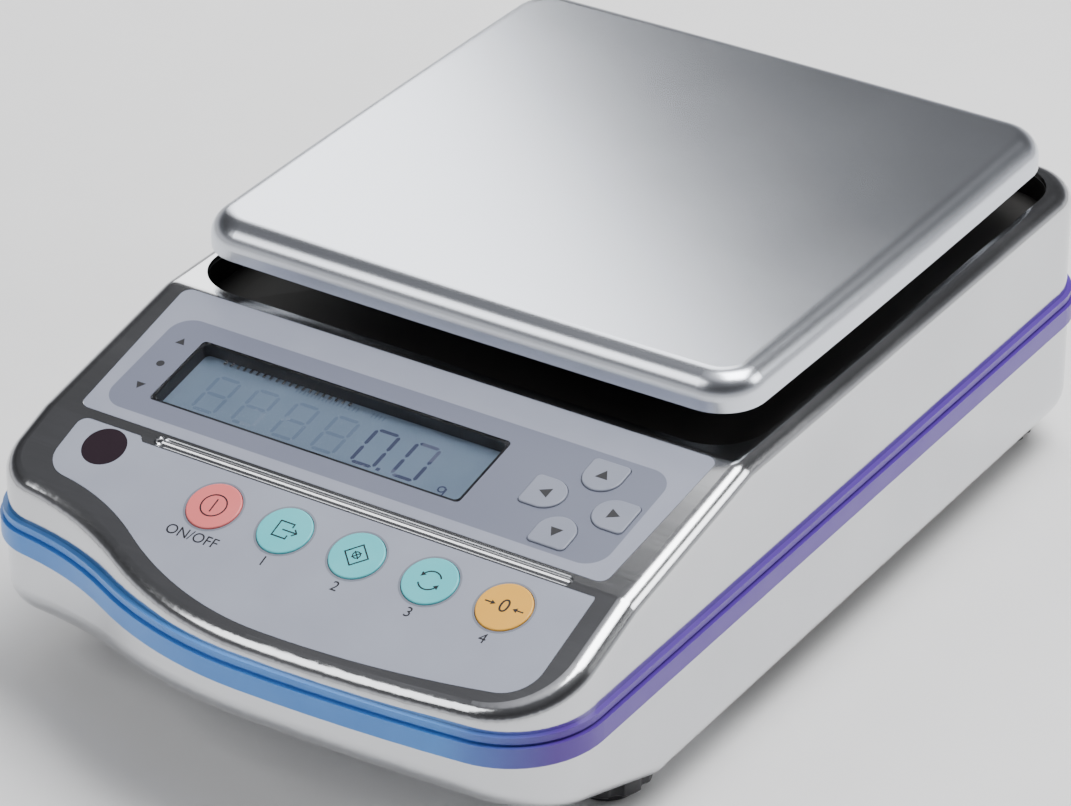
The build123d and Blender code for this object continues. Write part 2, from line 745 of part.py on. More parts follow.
# Chassis plate on four legs
chassis_top = chassis_z + chassis_thickness
chassis_middle = (chassis_front_y + chassis_back_y) / 2
with BuildPart() as chassis:
    with BuildSketch(Plane((0, chassis_middle, chassis_z))):
        RectangleRounded(2 * chassis_half_x, chassis_back_y - chassis_front_y, chassis_corner)
        with Locations((-chassis_slot_x, 0), (chassis_slot_x, 0)):
            SlotOverall(chassis_slot_length, chassis_slot, rotation=90, mode=Mode.SUBTRACT)
    extrude(amount=chassis_thickness)
    for x, y in chassis_legs:
        disc(Plane((x, y, floor_top)), leg_diameter, chassis_z - floor_top)
    for x, y in chassis_legs:
        disc(Plane((x, y, floor_top)), screw_diameter + 2 * thread_gap, case_screw_grip, Mode.SUBTRACT)
    for x in (-frame_screw_x, frame_screw_x):
        place = Plane((x, fixed_front_y + fixed_depth / 2, chassis_z))
        disc(place, screw_head + 2 * hole_gap, screw_head_height + hole_gap, Mode.SUBTRACT)
        disc(place, screw_diameter + 2 * hole_gap, chassis_thickness, Mode.SUBTRACT)
chassis.part.label = "chassis"

# Fixed end of the mechanism, with a sill that carries the fulcrum
fulcrum_z = lever_z - lever_height / 2
with BuildPart() as fixed_frame:
    with BuildSketch(Plane((0, fixed_front_y + fixed_depth / 2, chassis_top))):
        RectangleRounded(2 * block_half_x, fixed_depth, block_corner)
    extrude(amount=block_top - chassis_top)
    with BuildSketch(Plane.YZ):
        with BuildLine():
            Polyline((fixed_front_y + block_corner, chassis_top), (fulcrum_y - fulcrum_foot, chassis_top),
                     (fulcrum_y - fulcrum_tip, fulcrum_z - guide_gap), (fulcrum_y + fulcrum_tip, fulcrum_z - guide_gap),
                     (fulcrum_y + fulcrum_foot / 2, chassis_top + sill_height),
                     (fixed_front_y + block_corner, chassis_top + sill_height), close=True)
        make_face()
    extrude(amount=lever_half_x, both=True)
    for x in (-frame_screw_x, frame_screw_x):
        disc(Plane((x, fixed_front_y + fixed_depth / 2, chassis_top)), screw_diameter + 2 * thread_gap,
             case_screw_grip, Mode.SUBTRACT)
fixed_frame.part.label = "fixed_frame"

# Tuning fork that turns the pull of the lever into a pitch
fork_middle_y = (fork_front_y + fixed_front_y) / 2
with BuildPart() as tuning_fork:
    with BuildSketch(Plane.XY.offset(fork_top - fork_end)):
        with Locations((0, fork_middle_y)):
            Rectangle(2 * fork_half_x, fixed_front_y - fork_front_y)
    extrude(amount=fork_end)
    with BuildSketch(Plane.XY.offset(fork_bottom)):
        with Locations((0, fork_middle_y)):
            Rectangle(fork_slot + 4 * fork_prong, 2 * fork_prong)
    extrude(amount=fork_end)
    with BuildSketch(Plane.XY.offset(fork_bottom)):
        with Locations((0, fork_middle_y)):
            with GridLocations(fork_slot + fork_prong, 0, 2, 1):
                Rectangle(fork_prong, fork_prong)
    extrude(amount=fork_top - fork_bottom)
tuning_fork.part.label = "tuning_fork"

with BuildPart() as overload_stop:
    disc(Plane((0, pan_y, chassis_top)), stop_diameter, block_bottom - load_travel - fit_gap - chassis_top)
overload_stop.part.label = "overload_stop"

# Main board, its parts, and the flat cable up to the display board
board_top = main_board_z + board_thickness
with BuildPart() as main_board:
    put(Plane((0, (main_post_front + main_post_back) / 2, main_board_z)),
        rounded(2 * (main_post_x + board_margin), main_post_back - main_post_front + 2 * board_margin,
                board_margin / 2), board_thickness)
    for plane in main_posts:
        disc(plane, board_screw + 2 * hole_gap, board_thickness, Mode.SUBTRACT)
    put(Plane((ribbon_x, ribbon_foot_y, board_top)),
        rounded(ribbon_width + 2 * socket_wall, socket_depth, socket_wall / 2), socket_height)
    for x in (-chip_size, chip_size / 2):
        put(Plane((x, ribbon_foot_y, board_top)), rounded(chip_size, chip_size, chip_height / 4), chip_height)
    disc(Plane((-2 * chip_size, ribbon_foot_y + chip_size, board_top)), capacitor_diameter, capacitor_height)
main_board.part.label = "main_board"

ribbon_end = on_face(display_face, ribbon_x, ribbon_down, board_depth + board_thickness + socket_height)
ribbon_start = Vector(ribbon_x, ribbon_foot_y, board_top + socket_height)
with BuildPart() as ribbon_cable:
    with BuildLine() as route:
        FilletPolyline(ribbon_start, ribbon_start + (0, 0, ribbon_straight),
                       ribbon_end.origin - ribbon_end.z_dir * ribbon_straight, ribbon_end.origin,
                       radius=ribbon_bend)
    with BuildSketch(Plane(ribbon_start, x_dir=(1, 0, 0), z_dir=(0, 0, 1))):
        Rectangle(ribbon_width, ribbon_thickness)
    sweep()
ribbon_cable.part.label = "ribbon_cable"

# Power and data sockets in the back wall
inlet = Plane(back_wall * Pos(-inlet_x, socket_z, 0))
with BuildPart() as power_inlet:
    disc(inlet, inlet_flange, socket_proud)
    disc(inlet, inlet_diameter, -inlet_length)
    disc(inlet.offset(-steel), inlet_flange, -2 * steel)
    disc(inlet.offset(socket_proud), inlet_bore, -0.8 * inlet_length, Mode.SUBTRACT)
    disc(inlet, inlet_pin, -inlet_length)
power_inlet.part.label = "power_inlet"

port = Plane(back_wall * Pos(-port_x, socket_z, 0))
with BuildPart() as serial_port:
    put(port.offset(socket_proud), rounded(port_width, port_height, port_corner), -socket_proud - port_depth)
    put(port.offset(-steel), rounded(port_flange, port_height + 2 * steel, port_corner), -steel)
    for row, count in ((-1, 4), (1, 5)):
        with BuildSketch(port.offset(socket_proud)):
            with Locations((0, row * port_pitch / 2)):
                with GridLocations(port_pitch, 0, count, 1):
                    Circle(port_hole / 2)
        extrude(amount=-port_depth / 2, mode=Mode.SUBTRACT)
    for x in (-port_screw_pitch / 2, port_screw_pitch / 2):
        disc(Plane(port * Pos(x, 0, -steel)), board_screw, steel + socket_proud)
serial_port.part.label = "serial_port"


def add_screw(plane, diameter, head, head_height, length):
    """Pan head screw: the head stands on the plane and the shank runs down from it."""
    disc(plane, head, head_height)
    disc(plane, diameter, -length)


# Screws, each kind as one group
with BuildPart() as case_screws:
    for x, y in chassis_legs + case_posts:
        add_screw(Plane((x, y, case_floor_z), z_dir=(0, 0, -1)), screw_diameter, screw_head,
                  screw_head_height, case_screw_grip)
case_screws.part.label = "case_screws"

with BuildPart() as frame_screws:
    for x in (-frame_screw_x, frame_screw_x):
        seat = Plane((x, fixed_front_y + fixed_depth / 2, chassis_z + screw_head_height + hole_gap), z_dir=(0, 0, -1))
        add_screw(seat, screw_diameter, screw_head, screw_head_height, case_screw_grip)
frame_screws.part.label = "frame_screws"

with BuildPart() as board_screws:
    for plane in key_posts + display_posts:
        under = plane.offset(-board_thickness)
        add_screw(Plane(under.origin, x_dir=(1, 0, 0), z_dir=-under.z_dir), board_screw, board_screw_head,
                  board_screw_head_height, board_thickness + board_screw_grip)
    for plane in main_posts:
        add_screw(plane.offset(board_thickness), board_screw, board_screw_head, board_screw_head_height,
                  board_thickness + board_screw_grip)
board_screws.part.label = "board_screws"

with BuildPart() as foot_nuts:
    for x, y in feet:
        with BuildSketch(Plane((x, y, floor_top))):
            Circle(nut_diameter / 2)
            with Locations((0, -nut_flat)):
                Rectangle(nut_diameter, nut_diameter, align=(Align.CENTER, Align.MAX), mode=Mode.SUBTRACT)
            Circle(stud_diameter / 2 + thread_gap, mode=Mode.SUBTRACT)
        extrude(amount=nut_height)
foot_nuts.part.label = "foot_nuts"

# Pan: a pressed square dish, upside down, whose sides bow out a little
with BuildPart() as pan:
    half = pan_size / 2
    corner = half - pan_bow
    with BuildSketch(Plane((0, pan_y, pan_height - pan_skirt))) as pan_plan:
        with BuildLine():
            ThreePointArc((-corner, -corner), (0, -half), (corner, -corner))
            ThreePointArc((corner, -corner), (half, 0), (corner, corner))
            ThreePointArc((corner, corner), (0, half), (-corner, corner))
            ThreePointArc((-corner, corner), (-half, 0), (-corner, -corner))
        make_face()
        fillet(pan_plan.vertices(), pan_corner)
    extrude(amount=pan_skirt)
    fillet(pan.faces().sort_by(Axis.Z)[-1].edges(), pan_edge)
    offset(amount=-pan_sheet, openings=pan.faces().sort_by(Axis.Z)[0])
pan.part.label = "pan"

# What carries the pan: a cross with four rubber buttons on a column
with BuildPart() as pan_support:
    with BuildSketch(Plane((0, pan_y, support_z))):
        Circle(support_hub / 2)
        for turn in (45, 135):
            SlotCenterToCenter(2 * support_reach * sqrt(2), support_arm, rotation=turn)
    extrude(amount=support_thickness)
    chamfer(pan_support.faces().sort_by(Axis.Z)[-1].edges(), steel / 2)
pan_support.part.label = "pan_support"

bumper_z = support_z + support_thickness
with BuildPart() as pan_bumpers:
    with BuildSketch(Plane((0, pan_y, bumper_z))):
        with GridLocations(2 * support_reach, 2 * support_reach, 2, 2):
            Circle(bumper_diameter / 2)
    extrude(amount=pan_height - pan_sheet - stop_gap - bumper_z)
pan_bumpers.part.label = "pan_bumpers"

with BuildPart() as support_column:
    disc(Plane((0, pan_y, block_top)), column_foot, column_foot_height)
    disc(Plane((0, pan_y, block_top)), column_diameter, support_z - block_top)
support_column.part.label = "support_column"

with BuildPart() as moving_block:
    with BuildSketch(Plane((0, pan_y, block_bottom))):
        RectangleRounded(2 * block_half_x, 2 * block_half_y, block_corner)
    extrude(amount=block_top - block_bottom)
moving_block.part.label = "moving_block"

# Two parallel guides with thin bending places, and the lever
guide_front = pan_y + block_half_y + guide_gap
guide_back = fixed_front_y - guide_gap
guide_parts = []
for name, z in (("upper_guide", upper_guide_z), ("lower_guide", lower_guide_z)):
    with BuildPart() as guide:
        with BuildSketch(Plane((0, (guide_front + guide_back) / 2, z))):
            Rectangle(2 * block_half_x, guide_back - guide_front)
            RectangleRounded(2 * guide_window_half, guide_window_length, block_corner, mode=Mode.SUBTRACT)
        extrude(amount=guide_thickness)
        with BuildSketch(Plane.YZ):
            with Locations([(y, z + side * guide_thickness) for y in (guide_front + guide_notch_inset,
                            guide_back - guide_notch_inset) for side in (0, 1)]):
                Circle(guide_notch)
        extrude(amount=block_half_x, both=True, mode=Mode.SUBTRACT)
    guide.part.label = name
    guide_parts.append(guide.part)

with BuildPart() as lever:
    with BuildSketch(Plane.YZ):
        with Locations(((guide_front + lever_end_y) / 2, lever_z)):
            RectangleRounded(lever_end_y - guide_front, lever_height, fork_end / 4)
    extrude(amount=lever_half_x, both=True)
lever.part.label = "lever"

# Feet: a lobed knob with its stud, turning on a rubber pad
foot_parts = []
knob_bottom = pad_height + stop_gap
for name, (x, y) in zip(("front_left", "front_right", "back_left", "back_right"), feet):
    with BuildPart() as knob:
        with BuildSketch(Plane((x, y, knob_bottom))) as lobes:
            Circle(foot_diameter / 2)
            with PolarLocations(knob_scallop_out, foot_lobes):
                Circle(knob_scallop, mode=Mode.SUBTRACT)
            fillet(lobes.vertices(), knob_edge)
        extrude(amount=case_floor_z - stop_gap - knob_bottom)
        chamfer(knob.faces().sort_by(Axis.Z)[-1].edges() + knob.faces().sort_by(Axis.Z)[0].edges(), knob_edge)
        disc(Plane((x, y, knob_bottom)), pivot_diameter, stop_gap - pivot_depth)
        disc(Plane((x, y, knob_bottom)), stud_diameter, stud_top - knob_bottom)
    knob.part.label = f"foot_knob_{name}"
    with BuildPart() as pad:
        disc(Plane((x, y, 0)), pad_diameter, pad_height)
        chamfer(pad.faces().sort_by(Axis.Z)[0].edges(), pad_edge)
        disc(Plane((x, y, pad_height)), pivot_diameter + 2 * fit_gap, -pivot_depth - fit_gap, Mode.SUBTRACT)
    pad.part.label = f"foot_pad_{name}"
    foot_parts += [knob.part, pad.part]

pieces = [upper_case, lower_case, case_gasket, display_panel, key_panel, display_window, lcd_frame, lcd_glass,
          lcd_backlight, lcd_pins, display_board, key_board, switch_domes, level_holder, level_window, level_vial,
          level_bubble, column_boot, chassis, fixed_frame, tuning_fork, overload_stop, main_board, ribbon_cable,
          power_inlet, serial_port, case_screws, frame_screws, board_screws, foot_nuts, pan, pan_support,
          pan_bumpers, support_column, moving_block, lever]
for part in [piece.part for piece in pieces] + key_parts + guide_parts + foot_parts:
    export_step(part, f"parts/{part.label}.step")
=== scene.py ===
# %% [markdown]
# # A top-loading balance
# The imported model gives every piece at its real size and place. This lesson gives each of them
# its finish, adds what is printed on it, and sets up the studio round it. The box round the
# whole is measured first, so that the dressed part can be compared with it at the end.

# %% Load the frame
from math import atan2, cos, pi, radians, sin

import bpy
from mathutils import Matrix, Vector


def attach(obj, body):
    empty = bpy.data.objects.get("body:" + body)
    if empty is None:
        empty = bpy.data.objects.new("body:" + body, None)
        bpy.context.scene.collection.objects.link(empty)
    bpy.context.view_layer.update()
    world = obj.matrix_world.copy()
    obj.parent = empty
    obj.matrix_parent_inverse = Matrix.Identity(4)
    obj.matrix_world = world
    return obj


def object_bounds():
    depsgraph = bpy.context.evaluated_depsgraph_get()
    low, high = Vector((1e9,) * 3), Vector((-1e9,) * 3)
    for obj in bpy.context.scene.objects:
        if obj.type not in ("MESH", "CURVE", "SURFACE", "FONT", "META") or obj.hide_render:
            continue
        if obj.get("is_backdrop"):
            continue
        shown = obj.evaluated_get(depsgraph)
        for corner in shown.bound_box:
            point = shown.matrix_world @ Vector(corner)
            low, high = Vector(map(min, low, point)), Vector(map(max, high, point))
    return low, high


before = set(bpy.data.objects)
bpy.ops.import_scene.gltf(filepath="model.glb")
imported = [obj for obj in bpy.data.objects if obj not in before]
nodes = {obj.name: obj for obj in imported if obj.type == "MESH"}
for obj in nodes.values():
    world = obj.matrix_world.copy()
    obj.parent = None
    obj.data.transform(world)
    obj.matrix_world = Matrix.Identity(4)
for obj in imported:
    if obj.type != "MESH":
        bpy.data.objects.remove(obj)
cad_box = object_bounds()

MM = 0.001
print("nodes:", len(nodes))

# %% [markdown]
# ## The two sloping faces
# Nearly all print sits on two flat faces: the display face slopes gently, the key face more. A
# small function turns "so far across, so far down the slope, so far out" into a place in space,
# so that every mark can be given the way a draughtsman would measure it on the face.

# %% The faces as planes
BEND = (-45.2, 86.2)            # y and z of the line where the shelf turns down, in mm
FOLD = (-102.3, 74.5835)        # y and z of the line where the display face turns down
DISPLAY_TILT = radians(11.5)
KEY_TILT = radians(20.0)


def face_matrix(face, x, down, out=0.0, turn=0.0):
    """Place on the display or key face: millimetres across, down the slope and out of the skin."""
    (y, z), tilt = ((BEND, DISPLAY_TILT), (FOLD, KEY_TILT))[face == "key"]
    place = Matrix.Translation(Vector((0, y, z)) * MM) @ Matrix.Rotation(tilt, 4, "X")
    return place @ Matrix.Translation(Vector((x, -down, out)) * MM) @ Matrix.Rotation(turn, 4, "Z")


print("display face:", round((BEND[0] - FOLD[0]) / cos(DISPLAY_TILT), 1), "mm down the slope")

# %% [markdown]
# ## The camera
# The photograph was taken from far away with a long lens, to the right of the front and above.
# The camera goes where the photograph's perspective says it stood. Its three axes are built from
# azimuth, elevation and a very small roll.

# %% Camera
CAMERA_PLACE = Vector((661.70, -1023.11, 770.52)) * MM
AZIMUTH = radians(32.907)
ELEVATION = radians(30.490)
ROLL = radians(-0.2207)
FOCAL_PIXELS = 5005.7
IMAGE_WIDTH = 1071
SENSOR_WIDTH = 36

forward = Vector((-sin(AZIMUTH) * cos(ELEVATION), cos(AZIMUTH) * cos(ELEVATION), -sin(ELEVATION)))
level_right = Vector((cos(AZIMUTH), sin(AZIMUTH), 0))
level_up = level_right.cross(forward)
right = level_right * cos(ROLL) + level_up * sin(ROLL)
up = level_up * cos(ROLL) - level_right * sin(ROLL)
bpy.ops.object.camera_add(location=CAMERA_PLACE)
camera = bpy.context.object
camera.name = "camera"
camera.data.sensor_fit = "HORIZONTAL"
camera.data.sensor_width = SENSOR_WIDTH
camera.data.lens = FOCAL_PIXELS / IMAGE_WIDTH * SENSOR_WIDTH
camera.rotation_euler = Matrix((right, up, -forward)).transposed().to_euler()
bpy.context.scene.camera = camera
print("lens", round(camera.data.lens, 2), "mm")

# %% [markdown]
# ## The floor
# The photograph is cut out on white, so a plain pale floor stands in for what the balance stood
# on. It is matt, with a grain too slight to see, and wide enough to fill every view. The polished
# sides mirror it, which makes it the largest light in the scene.

# %% Floor
FLOOR_SIZE = 12
FLOOR_GRAIN = 40
FLOOR_TONES = (0.86, 0.90)


def new_material(name):
    """Node material, with its tree, its Principled shader and its object coordinates."""
    material = bpy.data.materials.new(name)
    material.use_nodes = True
    tree = material.node_tree
    coordinates = tree.nodes.new("ShaderNodeTexCoord")
    return material, tree, tree.nodes["Principled BSDF"], coordinates.outputs["Object"]


bpy.ops.object.select_all(action="DESELECT")
bpy.ops.mesh.primitive_grid_add(x_subdivisions=8, y_subdivisions=8, size=FLOOR_SIZE,
                                location=(0, 0, 0))
floor = bpy.context.object
floor.name = "floor"
floor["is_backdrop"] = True

floor_paint, tree, shader, place = new_material("floor_paint")
grain = tree.nodes.new("ShaderNodeTexNoise")
grain.inputs["Scale"].default_value = FLOOR_GRAIN
tree.links.new(place, grain.inputs["Vector"])
shade = tree.nodes.new("ShaderNodeValToRGB")
for element, tone in zip(shade.color_ramp.elements, FLOOR_TONES):
    element.color = (tone, tone, tone, 1)
tree.links.new(grain.outputs["Fac"], shade.inputs["Fac"])
tree.links.new(shade.outputs["Color"], shader.inputs["Base Color"])
shader.inputs["Roughness"].default_value = 0.9
shader.inputs["Specular IOR Level"].default_value = 0.1
floor.data.materials.append(floor_paint)
print("floor:", FLOOR_SIZE, "m wide")

# %% [markdown]
# ## The room
# Polished steel shows the room, so the room matters more than the lamps. The world is pale near
# the horizon and overhead and dark between, which gives the flat tops their dark tone. Its bands
# are set by the height of the direction, from 0 at the horizon to 1 straight up.

# %% World
HORIZON = (0.95, 0.95, 0.95, 1)
ZENITH = (0.90, 0.90, 0.92, 1)
SKY_BANDS = ((0.12, 0.60), (0.24, 0.12), (0.50, 0.05), (0.76, 0.10), (0.88, 0.13), (0.96, 0.60))
SKY_BLUE = 1.05                 # how much bluer than grey the bands are

world = bpy.data.worlds.new("studio")
bpy.context.scene.world = world
world.use_nodes = True
tree = world.node_tree
direction = tree.nodes.new("ShaderNodeTexCoord")
height = tree.nodes.new("ShaderNodeSeparateXYZ")
bands = tree.nodes.new("ShaderNodeValToRGB")
tree.links.new(direction.outputs["Generated"], height.inputs["Vector"])
tree.links.new(height.outputs["Z"], bands.inputs["Fac"])
tree.links.new(bands.outputs["Color"], tree.nodes["Background"].inputs["Color"])
bands.color_ramp.elements[0].color = HORIZON
bands.color_ramp.elements[1].color = ZENITH
for position, level in SKY_BANDS:
    bands.color_ramp.elements.new(position).color = (level, level, level * SKY_BLUE, 1)
print("sky bands:", len(bands.color_ramp.elements))

# %% [markdown]
# ## The lamps
# The pan mirrors one direction of the room, up and to the back left. A box stands there with its
# edge slanting across the mirrored view, so the pan is bright at its front left, dark at its back
# right, and soft between. The other three light the floor and the colours.

# %% Lamps
MIRRORED = Vector((-0.468, 0.723, 0.507))     # where the camera's view goes after the pan
BOX_EDGE = Vector((0.686, -0.066, 0.724))     # along the edge that crosses the pan
BOX_INWARD = BOX_EDGE.cross(MIRRORED)
BOX_DISTANCE = 0.6
BOX_WIDTH = 0.21
BOX_LENGTH = 0.6
EDGE_PLACE = Vector((0.005, 0.050, 0.105)) + BOX_DISTANCE * MIRRORED


def soft_box(name, place, target, width, length, power):
    """Area lamp that faces a point."""
    bpy.ops.object.light_add(type="AREA", location=place)
    lamp = bpy.context.object
    lamp.name = name
    lamp.data.shape = "RECTANGLE"
    lamp.data.size = width
    lamp.data.size_y = length
    lamp.data.energy = power
    lamp.rotation_euler = (Vector(target) - Vector(place)).to_track_quat("-Z", "Y").to_euler()
    return lamp


pan_box = soft_box("pan_box", EDGE_PLACE + BOX_INWARD * BOX_WIDTH / 2, target=EDGE_PLACE,
                   width=BOX_WIDTH, length=BOX_LENGTH, power=1.6)
pan_box.rotation_euler = Matrix((BOX_INWARD, BOX_EDGE, MIRRORED)).transposed().to_euler()
soft_box("top_box", (0.45, 0.35, 1.5), target=(0.2, 0.1, 0), width=0.9, length=0.9, power=34)
soft_box("front_box", (-0.7, -1.1, 1.2), target=(0, 0, 0.05), width=0.8, length=0.8, power=8)
soft_box("side_box", (1.2, 0.8, 0.8), target=(0.3, 0.3, 0), width=0.6, length=0.6, power=7)

# %% [markdown]
# ## Shared effects
# Two effects come back in many finishes: the grain of worked metal, and the fine pebble of
# moulded plastic with the slight unevenness that hands and cleaning leave. Each is one node group
# with its own inputs, built once and used with other values. A group starts from named inputs.

# %% Start of a group


def new_group(name, inputs, outputs):
    """Shader node group with named float inputs and named float outputs."""
    group = bpy.data.node_groups.new(name, "ShaderNodeTree")
    group.interface.new_socket("Vector", in_out="INPUT", socket_type="NodeSocketVector")
    for label, value in inputs:
        socket = group.interface.new_socket(label, in_out="INPUT", socket_type="NodeSocketFloat")
        socket.default_value = value
    for label in outputs:
        group.interface.new_socket(label, in_out="OUTPUT", socket_type="NodeSocketFloat")
    return group, group.nodes.new("NodeGroupInput"), group.nodes.new("NodeGroupOutput")


def range_node(tree, value, low, high):
    """Node that maps a range of values to 0 to 1, or to what its outer inputs say."""
    node = tree.nodes.new("ShaderNodeMapRange")
    node.inputs["From Min"].default_value = low
    node.inputs["From Max"].default_value = high
    tree.links.new(value, node.inputs["Value"])
    return node


def noise_node(group, vector, scale, detail):
    """Noise texture on a vector."""
    node = group.nodes.new("ShaderNodeTexNoise")
    node.inputs["Scale"].default_value = scale
    node.inputs["Detail"].default_value = detail
    group.links.new(vector, node.inputs["Vector"])
    return node


def rough_output(group, inside, outside, value, low, high):
    """Send a value, mapped between the two roughness inputs, to the roughness output."""
    rough = range_node(group, value, low, high)
    group.links.new(inside.outputs["Rough Low"], rough.inputs["To Min"])
    group.links.new(inside.outputs["Rough High"], rough.inputs["To Max"])
    group.links.new(rough.outputs["Result"], outside.inputs["Roughness"])


# %% [markdown]
# Rolled and brushed sheet has long fine scratches in one direction. Noise that is stretched along
# X gives them, and a slower noise makes the polish drift a little from place to place. Cast metal
# uses the same group with equal scales, which makes the grain even.

# %% Metal grain


def metal_grain_group():
    """Long fine scratches along X, with a slow drift of roughness."""
    inputs = (("Length", 30.0), ("Across", 2500.0), ("Rough Low", 0.2), ("Rough High", 0.3))
    group, inside, outside = new_group("metal_grain", inputs, ("Height", "Roughness", "Tone"))
    links = group.links
    stretch = group.nodes.new("ShaderNodeCombineXYZ")
    links.new(inside.outputs["Length"], stretch.inputs["X"])
    links.new(inside.outputs["Across"], stretch.inputs["Y"])
    links.new(inside.outputs["Across"], stretch.inputs["Z"])
    scaled = group.nodes.new("ShaderNodeVectorMath")
    scaled.operation = "MULTIPLY"
    links.new(inside.outputs["Vector"], scaled.inputs[0])
    links.new(stretch.outputs["Vector"], scaled.inputs[1])
    scratches = noise_node(group, scaled.outputs["Vector"], scale=1, detail=3)
    drift = noise_node(group, inside.outputs["Vector"], scale=22, detail=4)
    both = group.nodes.new("ShaderNodeMath")
    both.operation = "MULTIPLY"
    links.new(drift.outputs["Fac"], both.inputs[0])
    links.new(scratches.outputs["Fac"], both.inputs[1])
    rough_output(group, inside, outside, both.outputs["Value"], low=0.12, high=0.40)
    links.new(scratches.outputs["Fac"], outside.inputs["Height"])
    links.new(drift.outputs["Fac"], outside.inputs["Tone"])
    return group


GRAIN = metal_grain_group()
print("metal grain:", len(GRAIN.nodes), "nodes")

# %% [markdown]
# A moulding takes over the fine spark-eroded surface of its tool. Small cells give that pebble,
# and a soft noise gives the tone and the roughness their drift. Printed film uses the same group
# with much smaller cells and almost no relief.

# %% Pebble


def pebble_group():
    """Fine pebble of moulded plastic and rubber, with slight wear in its tone."""
    inputs = (("Scale", 900.0), ("Rough Low", 0.4), ("Rough High", 0.55))
    group, inside, outside = new_group("pebble", inputs, ("Height", "Roughness", "Tone"))
    cells = group.nodes.new("ShaderNodeTexVoronoi")
    group.links.new(inside.outputs["Vector"], cells.inputs["Vector"])
    group.links.new(inside.outputs["Scale"], cells.inputs["Scale"])
    wear = noise_node(group, inside.outputs["Vector"], scale=60, detail=5)
    rough_output(group, inside, outside, wear.outputs["Fac"], low=0.3, high=0.7)
    group.links.new(cells.outputs["Distance"], outside.inputs["Height"])
    group.links.new(wear.outputs["Fac"], outside.inputs["Tone"])
    return group


PEBBLE = pebble_group()
print("pebble:", len(PEBBLE.nodes), "nodes")

# %% [markdown]
# Two finishes change at a sharp outline, so a third group makes the mask of a rounded rectangle.
# It measures the distance from the rectangle that is left when the corner radius is taken off all
# round, along two directions that are given, and compares it with that radius.

# %% Rounded zone
ZONE_BLUR = 0.08                # half the width of its edge, in mm


def zone_group():
    """Mask of a rounded rectangle: 1 inside it, 0 outside, in millimetres across and along."""
    inputs = (("Half Across", 10.0), ("Half Along", 10.0), ("Corner", 2.0))
    group, inside, outside = new_group("rounded_zone", inputs, ("Mask",))
    links = group.links
    for label in ("Middle", "Across", "Along"):
        group.interface.new_socket(label, in_out="INPUT", socket_type="NodeSocketVector")
    offset = group.nodes.new("ShaderNodeVectorMath")
    offset.operation = "SUBTRACT"
    links.new(inside.outputs["Vector"], offset.inputs[0])
    links.new(inside.outputs["Middle"], offset.inputs[1])
    beyond = group.nodes.new("ShaderNodeCombineXYZ")
    for axis, half, target in (("Across", "Half Across", "X"), ("Along", "Half Along", "Y")):
        share = group.nodes.new("ShaderNodeVectorMath")
        share.operation = "DOT_PRODUCT"
        links.new(offset.outputs["Vector"], share.inputs[0])
        links.new(inside.outputs[axis], share.inputs[1])
        value = share.outputs["Value"]
        steps = (("MULTIPLY", 1 / MM), ("ABSOLUTE", 0.0), ("SUBTRACT", inside.outputs[half]),
                 ("ADD", inside.outputs["Corner"]), ("MAXIMUM", 0.0))
        for operation, other in steps:
            step = group.nodes.new("ShaderNodeMath")
            step.operation = operation
            links.new(value, step.inputs[0])
            if isinstance(other, float):
                step.inputs[1].default_value = other
            else:
                links.new(other, step.inputs[1])
            value = step.outputs["Value"]
        links.new(value, beyond.inputs[target])
    distance = group.nodes.new("ShaderNodeVectorMath")
    distance.operation = "LENGTH"
    links.new(beyond.outputs["Vector"], distance.inputs[0])
    edge = group.nodes.new("ShaderNodeMath")
    edge.operation = "SUBTRACT"
    links.new(distance.outputs["Value"], edge.inputs[0])
    links.new(inside.outputs["Corner"], edge.inputs[1])
    mask = range_node(group, edge.outputs["Value"], ZONE_BLUR, -ZONE_BLUR)
    links.new(mask.outputs["Result"], outside.inputs["Mask"])
    return group


ZONE = zone_group()
print("rounded zone:", len(ZONE.nodes), "nodes")

# %% [markdown]
# ## Materials
# The materials share a few short steps: putting a group in, a colour that drifts between two near
# tones, a mix that a mask steers, and a small relief. With these each finish is one line that
# says what it is made of.

# %% Steps of a material
TONE_STOPS = (0.3, 0.7)         # where the drift leaves the first tone and reaches the second


def use_group(tree, group, place, values):
    """Put a group in a material and set its inputs."""
    box = tree.nodes.new("ShaderNodeGroup")
    box.node_tree = group
    tree.links.new(place, box.inputs["Vector"])
    for label, value in values.items():
        box.inputs[label].default_value = value
    return box


def tone_between(tree, fac, low, high):
    """Colour that drifts between two near tones."""
    drift = tree.nodes.new("ShaderNodeValToRGB")
    for element, position, tone in zip(drift.color_ramp.elements, TONE_STOPS, (low, high)):
        element.position = position
        element.color = (*tone, 1)
    tree.links.new(fac, drift.inputs["Fac"])
    return drift.outputs["Color"]


def mixed(tree, kind, mask, first, second, target):
    """Link a mix of two sockets or plain values, steered by a mask, to a socket."""
    node = tree.nodes.new("ShaderNodeMix")
    node.data_type = kind
    tree.links.new(mask, node.inputs["Factor"])
    first_input, output = {"FLOAT": (2, 0), "RGBA": (6, 2)}[kind]
    for index, source in ((first_input, first), (first_input + 1, second)):
        if isinstance(source, bpy.types.NodeSocket):
            tree.links.new(source, node.inputs[index])
        else:
            node.inputs[index].default_value = source
    tree.links.new(node.outputs[output], target)


